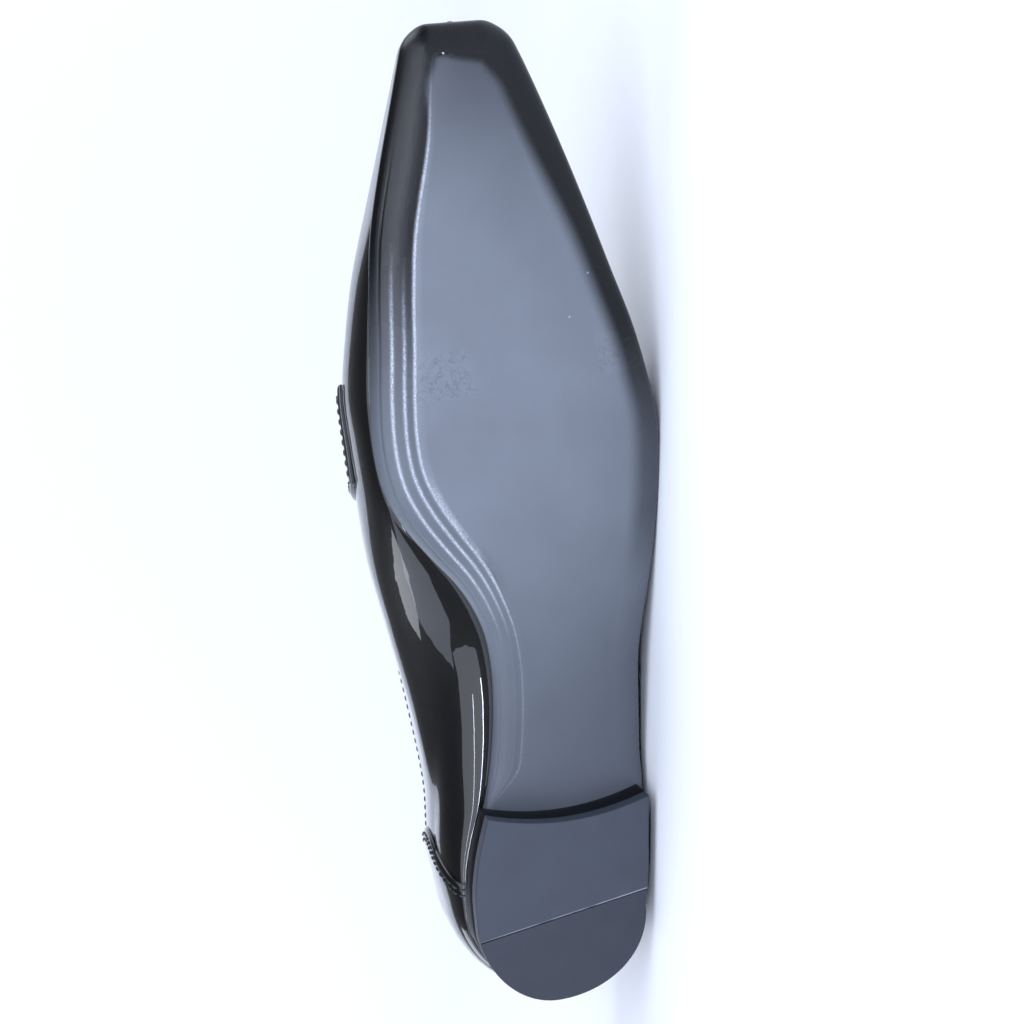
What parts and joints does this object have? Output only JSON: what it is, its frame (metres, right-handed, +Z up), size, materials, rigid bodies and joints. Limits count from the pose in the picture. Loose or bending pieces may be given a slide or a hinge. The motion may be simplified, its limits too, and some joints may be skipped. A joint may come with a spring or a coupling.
{
  "type": "bit loafer",
  "caption": "Black patent bit loafer with a long square toe and low heel, left shoe, lying on its outer side with the sole in view.",
  "frame": {"origin": "centre of the bottom of the lying shoe's box, on the floor", "axes": "+X from heel to toe, +Y from the tread to the collar, +Z up through the shoe's inner side"},
  "size_m": [0.314, 0.0966, 0.1019],
  "materials": {
    "patent_leather": "mirror gloss patent",
    "sole_leather": "satin, smooth",
    "edge_leather": "inked and waxed",
    "heel_rubber": "fine matt",
    "lining_leather": "matt",
    "gold_tone_brass": "polished"
  },
  "bodies": {
    "root": {"outsole": "sole_leather", "heel_base": "edge_leather", "top_piece_leather": "sole_leather", "top_piece_rubber": "heel_rubber", "insole": "lining_leather", "upper": "patent_leather", "heel_counter": "patent_leather", "tongue": "patent_leather", "strap": "patent_leather", "bit_ring_inner": "gold_tone_brass", "bit_ring_outer": "gold_tone_brass", "bit_bar": "gold_tone_brass", "bit_keeper_inner": "patent_leather", "bit_keeper_outer": "patent_leather"}
  },
  "joints": []
}
